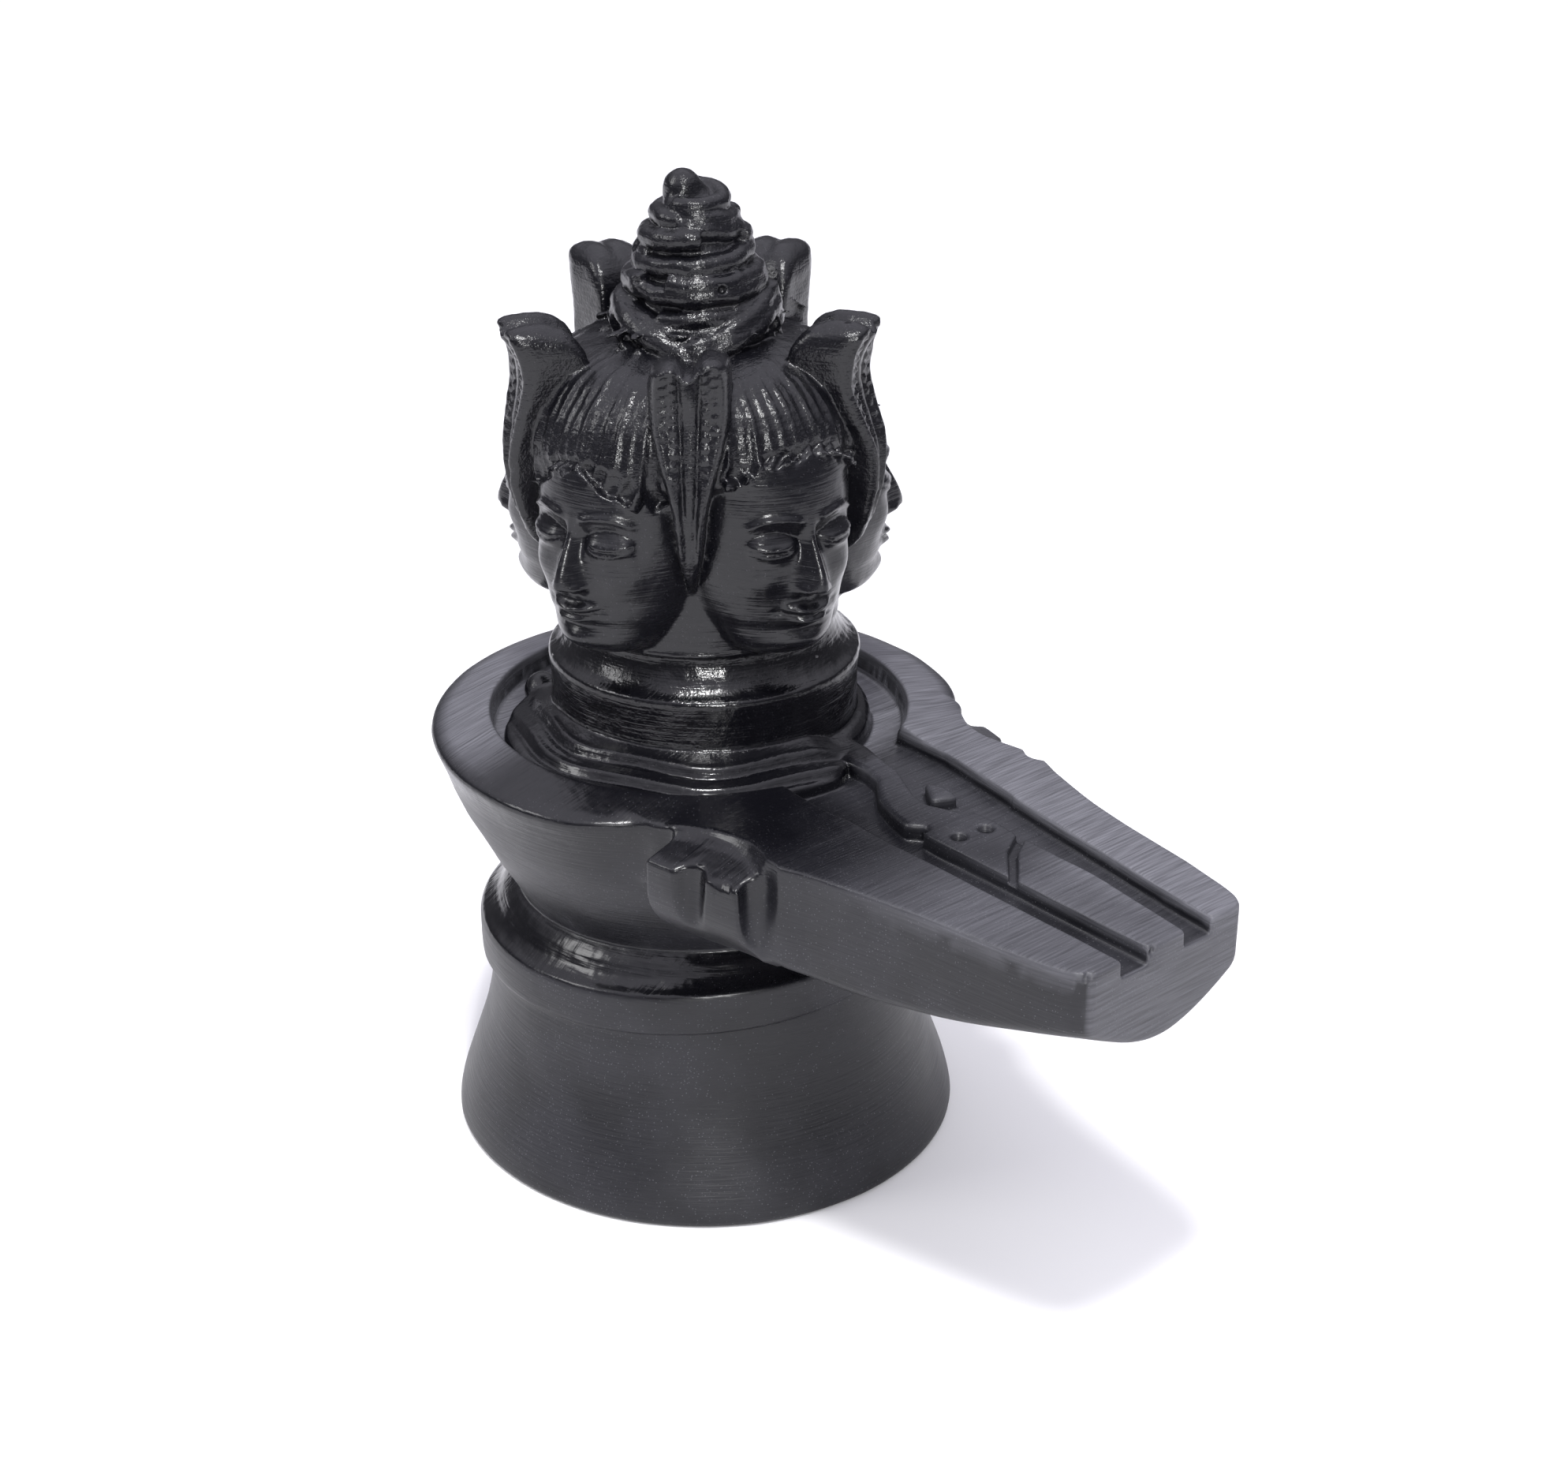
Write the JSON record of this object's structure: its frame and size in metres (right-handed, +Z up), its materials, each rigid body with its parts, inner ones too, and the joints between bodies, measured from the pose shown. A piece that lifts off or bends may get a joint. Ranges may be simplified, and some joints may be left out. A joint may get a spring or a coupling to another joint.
{
  "type": "shiva lingam",
  "caption": "Carved black stone lingam: flared foot, bowl with a basin and long channelled spout, neck, ring of faces under snake hoods, and a wound topknot.",
  "frame": {"origin": "middle of the foot's flat underside", "axes": "+Z up through the pillar and the topknot, +X along the spout, +Y to the left of the spout"},
  "size_m": [0.0935, 0.056, 0.1045],
  "materials": {
    "black_stone": "polished black stone"
  },
  "bodies": {
    "root": {"shiva_lingam": "black_stone"}
  },
  "joints": []
}
